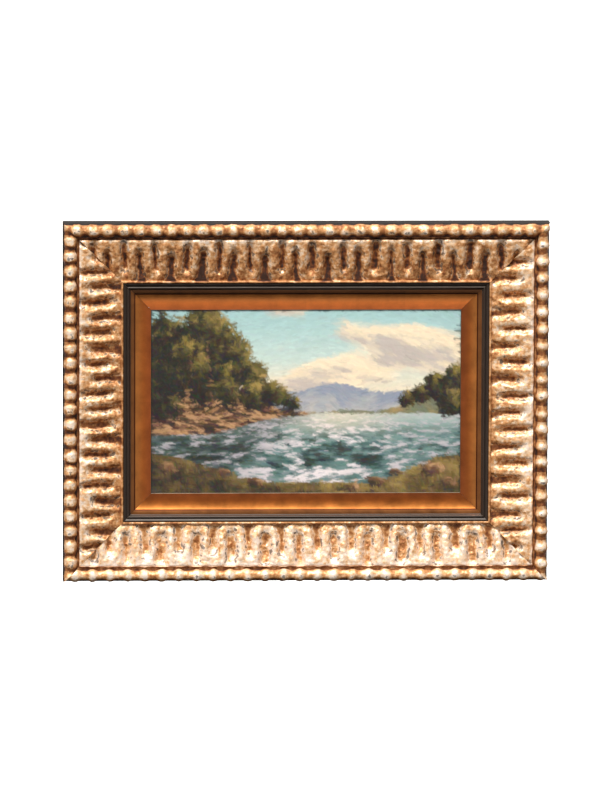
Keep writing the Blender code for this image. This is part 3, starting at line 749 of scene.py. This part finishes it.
# What the brush follows: the picture as broad shapes, and which way and how thickly each place is brushed
def composePicture(rng):
    height, width = picture["height"], picture["width"]
    y, x = np.mgrid[0:height, 0:width] / height
    far = picture["horizon"]
    # sky, with a bank of warm cloud that opens to blue
    image = paintRamp(smoothStep(y, 0.0, far), "skyTop skyMid skyLow")
    cloud = softNoise(rng, 105, 2.1, 6, 0.5)
    bank = cloud + 0.16 * np.exp(-((x - 1.05) / 0.42) ** 2 - ((y - 0.26) / 0.16) ** 2) \
        + 0.10 * np.exp(-((x - 0.45) / 0.5) ** 2 - ((y - 0.36) / 0.08) ** 2) - 0.10 * smoothStep(y, 0.16, 0.0)
    cover = smoothStep(bank, 0.44, 0.56)
    lit = bank - np.roll(np.roll(bank, -9, 0), 12, 1)
    tone = 0.55 - 6.0 * lit - 0.45 * smoothStep(bank, 0.58, 0.78)
    image = lay(image, paintRamp(tone, "cloudShade skyLow cloudLit"), cover * 0.93)
    image = lay(image, "cloudLit", smoothStep(y, 0.40, far) * 0.45 * smoothStep(cloud, 0.35, 0.6))
    angle = (softNoise(rng, 120, 1.6, 2) - 0.5) * 1.4
    thick = 0.35 + 0.5 * cover
    fineShare = np.full(y.shape, 0.25)
    # hills across the lake
    wave = softNoise(rng, 60, 2.0, 4)
    ridge = 0.50 - 0.095 * np.exp(-((x - 0.98) / 0.22) ** 2) - 0.06 * np.exp(-((x - 1.42) / 0.20) ** 2) \
        - 0.03 * np.exp(-((x - 0.70) / 0.12) ** 2) + 0.035 * (wave - 0.5)
    hills = smoothStep(y - ridge, -0.002, 0.004) * (y < far)
    slope = softNoise(rng, 26, 1.0, 4)
    image = lay(image, paintRamp(0.2 + 0.7 * slope + (y - 0.44) * 2.2, "hillFar hillFar hillMist"), hills)
    nearRidge = 0.552 - 0.075 * smoothStep(x, 0.95, 1.62) - 0.018 * np.sin(x * 9) * smoothStep(x, 0.8, 1.3) \
        + 0.03 * (wave - 0.5)
    nearHills = smoothStep(y - nearRidge, -0.002, 0.004) * (y < far + 0.004)
    image = lay(image, paintRamp(1.5 * slope - 0.2, "hillNear hillNear hillWarm"), nearHills)
    onHills = np.maximum(hills, nearHills)
    angle = np.where(onHills > 0.5, 0.5 * np.sin(x * 14), angle)
    fineShare = np.where(onHills > 0.5, 0.6, fineShare)
    # the lake, where a breeze lifts small waves that grow towards the shore
    water = smoothStep(y, far, far + 0.004)
    depth = np.clip((y - far) / (1 - far), 0, 1)
    image = lay(image, paintRamp(depth ** 0.8, "waterFar waterMid waterNear waterNear"), water)
    waves = np.zeros(y.shape)
    for cell, begin, end in ((7, 0.0, 0.25), (13, 0.12, 0.5), (24, 0.35, 0.8), (40, 0.6, 1.4)):
        share = smoothStep(depth, begin - 0.12, begin + 0.08) * (1 - smoothStep(depth, end - 0.1, end + 0.15))
        waves = waves + share * (np.abs(softNoise(rng, cell, 3.4, 4, 0.6) * 2 - 1) - 0.18)
    crest = 1 - smoothStep(waves, -0.17, -0.03)
    image = lay(image, paintRamp(waves * 2.4, "waterMid waterNear treeDark"),
                water * 0.75 * smoothStep(depth, 0.06, 0.35))
    image = lay(image, "lilac", water * crest * 0.75)
    glow = np.exp(-((x - 1.02 + 0.15 * depth) / (0.20 + 0.25 * depth)) ** 2)
    image = lay(image, "glint", water * smoothStep(crest, 0.5, 1.0) * (0.25 + 0.6 * glow))
    image = lay(image, "skyLow", water * glow * 0.5 * (1 - smoothStep(depth, 0.0, 0.35)))
    angle = np.where(water > 0.5, 0.22 * (softNoise(rng, 40, 2.0, 2) - 0.5) + 0.12 * np.sin(x * 6 + y * 20), angle)
    thick = np.where(water > 0.5, 0.3 + 0.6 * crest, thick)
    fineShare = np.where(water > 0.5, 0.75, fineShare)
    # dark reflections under the wooded shore
    shade = smoothStep(0.86 - x - 0.5 * depth + 0.25 * (softNoise(rng, 14, 4.0, 3) - 0.5), -0.08, 0.16)
    image = lay(image, "treeDark", water * shade * 0.62 * (1 - 0.7 * crest))
    # rocks along the shore, then the trees
    shoreLine = 0.575 + 0.10 * smoothStep(0.80 - x, 0.0, 0.55) + 0.025 * (wave - 0.5)
    shoreTop = 0.545 - 0.10 * smoothStep(0.86 - x, 0.0, 0.5)
    shore = smoothStep(0.84 - x + 0.12 * (slope - 0.5), 0.0, 0.02) * smoothStep(shoreLine - y, -0.003, 0.006) \
        * smoothStep(y - shoreTop, 0.0, 0.02)
    stones = softNoise(rng, 22, 1.3, 4, 0.6)
    stoneLit = 0.5 + 7.0 * (stones - np.roll(np.roll(stones, 4, 0), -4, 1))
    image = lay(image, paintRamp(stoneLit, "rockDark rockMid rockLit"), shore)
    crowns = [(0.02, 0.36, 0.25), (0.14, 0.20, 0.19), (0.30, 0.13, 0.15), (0.24, 0.34, 0.20), (0.42, 0.26, 0.13),
              (0.40, 0.42, 0.13), (0.53, 0.36, 0.10), (0.55, 0.47, 0.09), (0.65, 0.46, 0.075), (0.75, 0.505, 0.05),
              (1.36, 0.485, 0.05), (1.44, 0.455, 0.065), (1.53, 0.42, 0.09), (1.63, 0.40, 0.11), (1.60, 0.50, 0.09)]
    ragged = softNoise(rng, 34, 1.0, 5, 0.62) - 0.5
    leaves = softNoise(rng, 11, 1.2, 4, 0.7)
    for centreX, centreY, radius in crowns:
        across, down = (x - centreX) / radius, (y - centreY) / (radius * 0.9)
        away = np.sqrt(across ** 2 + down ** 2) + ragged * 0.75
        mask = smoothStep(1.0 - away, 0.0, 0.05)
        mask = mask * smoothStep(leaves + 0.9 * (1 - away), 0.42, 0.52)
        light = 0.34 + 0.34 * across - 0.40 * down + 1.2 * (leaves - 0.5) + 0.9 * ragged
        image = lay(image, paintRamp(light, "treeDark treeDark treeMid treeLit treeSun"), mask)
        angle = np.where(mask > 0.5, 5.0 * (softNoise(rng, 9, 1.0, 1) - 0.5), angle)
        thick = np.where(mask > 0.5, 0.3 + 0.5 * np.clip(light, 0, 1), thick)
        fineShare = np.where(mask > 0.5, 1.0, fineShare)
    for foot, top, lean, girth in ((0.19, 0.22, 0.05, 0.011), (0.335, 0.18, -0.03, 0.008), (0.46, 0.30, 0.02, 0.006)):
        share = np.clip((0.62 - y) / (0.62 - top), 0, 1)
        bend = foot + lean * share ** 1.6 + 0.006 * np.sin(y * 40)
        girthHere = girth * (1.15 - 0.8 * share)
        trunk = smoothStep(girthHere - np.abs(x - bend), 0.0, 0.003) * (y < 0.62) * (y > top)
        trunk = trunk * smoothStep(leaves, 0.36, 0.50)
        image = lay(image, paintRamp(0.5 + (x - bend) / girthHere * 0.5, "rockDark rockMid rockLit"), trunk * 0.9)
    # grassy banks at the bottom, brown and olive, with a few pale stones
    left = 0.93 - 0.16 * smoothStep(0.75 - x, 0.0, 0.8) + 0.035 * (wave - 0.5)
    right = 0.955 - 0.17 * smoothStep(x, 1.05, 1.62) + 0.04 * (slope - 0.5)
    edge = np.minimum(left, right)
    ground = smoothStep(y - edge, 0.0, 0.008)
    turf = softNoise(rng, 16, 2.2, 5, 0.65)
    lightHere = 1.7 * turf - 0.45 - 2.4 * (y - edge) + 0.25 * (x > 0.9)
    image = lay(image, paintRamp(lightHere, "bankDark bankMid bankLit"), ground)
    boulders = [(1.20, 0.925, 0.05), (1.30, 0.875, 0.035), (1.50, 0.86, 0.06), (1.58, 0.93, 0.05),
                (0.56, 0.925, 0.045), (0.40, 0.875, 0.035), (0.10, 0.85, 0.05), (1.08, 0.955, 0.03)]
    for centreX, centreY, radius in boulders:
        across, down = (x - centreX) / radius, (y - centreY) / (radius * 0.62)
        away = np.sqrt(across ** 2 + down ** 2) + 0.5 * ragged
        tone = 0.45 + 0.35 * across - 0.5 * down + 1.4 * (stones - 0.5)
        image = lay(image, paintRamp(tone, "rockDark rockMid rockLit"), smoothStep(1 - away, 0, 0.08))
    angle = np.where(ground > 0.5, 1.2 * (turf - 0.5) + 1.3 * (leaves > 0.5), angle)
    fineShare = np.where(ground > 0.5, 1.0, fineShare)
    # darker towards the corners a little
    corner = ((x - 0.83) / 0.95) ** 2 + ((y - 0.5) / 0.62) ** 2
    image = image * (1 - 0.16 * smoothStep(corner, 0.6, 1.9))[..., None]
    # a dark band along the edges where the slip meets the picture, partly dirt and partly painted shadow, narrower at
    # the bottom
    fromEdge = np.minimum(np.minimum(x, x.max() - x), np.minimum(y, 2 * (1 - y)))
    image = image * (0.96 - 0.70 * smoothStep(fromEdge, 0.0195, 0.0135))[..., None]
    return image, angle, thick, fineShare


# Broad strokes first, then finer ones, each with the marks of its bristles
def brushPicture():
    rng = np.random.default_rng(picture["seed"])
    guide, angle, thick, fineShare = composePicture(rng)
    height, width = picture["height"], picture["width"]
    image, relief = guide.copy(), np.zeros((height, width))
    for layer, (count, length, girth, spread) in enumerate(picture["strokes"]):
        rows, columns = rng.uniform(0, height, count), rng.uniform(0, width, count)
        chance = rng.random(count)
        for row, column, luck in zip(rows, columns, chance):
            r, c = int(row), int(column)
            if luck > (1.0, 0.35 + 0.65 * fineShare[r, c], fineShare[r, c])[layer]:
                continue
            turn = angle[r, c] + rng.normal(0, 0.18)
            reach = length * rng.uniform(0.6, 1.3)
            half = girth * rng.uniform(0.7, 1.25)
            box = int(reach + half + 2)
            r0, r1, c0, c1 = max(r - box, 0), min(r + box + 1, height), max(c - box, 0), min(c + box + 1, width)
            yy, xx = np.ogrid[r0 - row:r1 - row - 0.5, c0 - column:c1 - column - 0.5]
            along = xx * math.cos(turn) + yy * math.sin(turn)
            across = yy * math.cos(turn) - xx * math.sin(turn)
            bend = across + 0.25 * half * np.sin(along / reach * 2 + luck * 6)
            past = np.maximum(np.abs(along) - reach * 0.8, 0)
            inside = 1 - np.sqrt((bend / half) ** 2 + (past / half) ** 2)
            alpha = np.clip(inside * half * 0.9, 0, 1)
            bristle = 0.78 + 0.22 * np.sin(bend * (4.2 / half) * 1.7 + luck * 40)
            alpha = alpha * bristle * 0.88
            colour = guide[r, c] * (1 + rng.normal(0, spread * 2.2)) + rng.normal(0, spread * 0.35, 3)
            patch = image[r0:r1, c0:c1]
            patch += (np.clip(colour, 0.002, 0.95) - patch) * alpha[..., None]
            body = thick[r, c] * (0.55 + 0.45 * luck) * (0.8 + 0.5 * np.clip(1 - inside, 0, 1)) * bristle
            relief[r0:r1, c0:c1] += (body - relief[r0:r1, c0:c1]) * alpha * 0.8
    return image, relief


# Linen, sized and painted in oils: the colour lies at each point, thick paint stands up a little, and an old varnish
# gives a soft gloss. The back is bare linen, brown with age. The weave is a little coarser than a real one.
canvas = {"width": 0.508, "height": 0.306, "front": 0.0203, "back": 0.0193, "cover": 0.0045, "impasto": 0.0004,
          "linen": "#a98f68", "linenDark": "#6f5638", "thread": 0.0011, "roughness": 0.42}
weave = {**canvas, "threads": 0.314 / canvas["thread"]}
paintFinish = newMaterial("oil paint under varnish", weave, {**inObject, "colour": ("paint", "Color")}, """
    bristles = noise place 700 3
    weaveX = bandsX place threads 1
    relief = bandsZ place threads 1, weaveX + it, it * 0.22 + bristles
    normal = bump relief 0.0003 0.5
    """, Roughness=canvas["roughness"], Coat_Weight=0.15, Coat_Roughness=0.25)
linenFinish = newMaterial("bare linen canvas", weave, inObject, """
    weaveX = bandsX place threads 1.5 2
    both = bandsZ place threads 1.5 2, weaveX * it
    tone = noise place 9 5, both * 0.35 + it
    colour = ramp tone 0.35 linenDark 0.75 linen
    normal = bump both 0.0004 0.7
    """, Roughness=0.85)


def makeCanvas():
    # two painted points across and two down make one point of the mesh
    colour, relief = [(layer[::2, ::2] + layer[1::2, ::2] + layer[::2, 1::2] + layer[1::2, 1::2]) / 4
                      for layer in brushPicture()]
    rows, columns = relief.shape
    x = np.linspace(-canvas["width"] / 2, canvas["width"] / 2, columns)
    z = whole["centreZ"] + np.linspace(canvas["height"] / 2, -canvas["height"] / 2, rows)
    fromEdge = np.minimum(np.minimum(x - x[0], x[-1] - x)[None, :], np.minimum(z[0] - z, z - z[-1])[:, None])
    y = -canvas["front"] - relief * canvas["impasto"] * smoothStep(fromEdge, canvas["cover"], canvas["cover"] * 1.6)
    places = np.stack([np.broadcast_to(x, y.shape), y, np.broadcast_to(z[:, None], y.shape)], -1).reshape(-1, 3)
    index = np.arange(rows * columns).reshape(rows, columns)
    ring = np.concatenate([index[0, :-1], index[:-1, -1], index[-1, :0:-1], index[:0:-1, 0]])
    backRing = np.arange(len(ring)) + len(places)
    backPlaces = places[ring] * (1, 0, 1) - (0, canvas["back"], 0)
    quads = np.stack([index[:-1, :-1], index[1:, :-1], index[1:, 1:], index[:-1, 1:]], -1).reshape(-1, 4).tolist()
    edges = np.stack([ring, np.roll(ring, -1), np.roll(backRing, -1), backRing], -1).tolist()
    mesh = bpy.data.meshes.new("painted canvas")
    mesh.from_pydata(np.concatenate([places, backPlaces]).tolist(), [], quads + edges + [backRing.tolist()])
    mesh.materials.append(paintFinish)
    mesh.materials.append(linenFinish)
    mesh.polygons.foreach_set("material_index", np.repeat([0, 1], [len(quads), len(edges) + 1]).astype(np.int32))
    paint = np.ones((len(mesh.vertices), 4), np.float32)
    paint[:len(places), :3] = colour.reshape(-1, 3)
    paint[len(places):, :3] = linear(canvas["linen"])[:3]
    mesh.attributes.new("paint", "FLOAT_COLOR", "POINT").data.foreach_set("color", paint.ravel())
    piece = newPiece("painted_canvas_sheet", mesh)
    finishPiece(piece, "canvas", 60)
    print("canvas painted")


makeCanvas()

# Plain pale floor well below. Soft light comes from above, a little left, and the studio is dim behind the camera.
stage = {"floorZ": -1.6, "floor": "#f4f2ef", "lampWay": (-0.45, -1.0, 1.65), "lampStrength": 5.2, "lampSize": 22,
         "sky": [(0.0, 0.08), (0.25, 0.10), (0.295, 1.2), (0.325, 2.1), (0.36, 1.1), (0.42, 0.12), (0.54, 0.03),
                 (0.66, 0.10), (0.76, 0.4), (0.85, 1.6), (1.0, 1.0)]}


def makeStage():
    mesh = bpy.data.meshes.new("floor")
    mesh.from_pydata([(-60, -60, stage["floorZ"]), (60, -60, stage["floorZ"]), (60, 60, stage["floorZ"]),
                      (-60, 60, stage["floorZ"])], [], [(0, 1, 2, 3)])
    floor = newPiece("floor", mesh)
    floor.visible_glossy = floor.visible_diffuse = False
    mesh.materials.append(newMaterial("pale floor", {}, {}, "", Roughness=0.9, Base_Color=linear(stage["floor"])))
    world = bpy.context.scene.world or bpy.data.worlds.new("studio")
    bpy.context.scene.world = world
    world.use_nodes = True
    tree = world.node_tree
    way = addNode(tree, "ShaderNodeSeparateXYZ", inputs={0: addNode(tree, "ShaderNodeTexCoord").outputs["Generated"]})
    level = addNode(tree, "ShaderNodeMapRange", inputs={"Value": way.outputs[2], "From Min": -1.0})
    sky = addNode(tree, "ShaderNodeValToRGB", {"stops": stage["sky"]}, {"Fac": level.outputs[0]})
    tree.links.new(sky.outputs["Color"], tree.nodes["Background"].inputs["Color"])
    sun = bpy.data.lights.new("key", "SUN")
    sun.energy, sun.angle = stage["lampStrength"], math.radians(stage["lampSize"])
    lamp = bpy.data.objects.new("key", sun)
    bpy.context.scene.collection.objects.link(lamp)
    lamp.rotation_euler = Vector(stage["lampWay"]).to_track_quat("Z", "Y").to_euler()
    bpy.context.scene.view_settings.view_transform = "Standard"


makeStage()
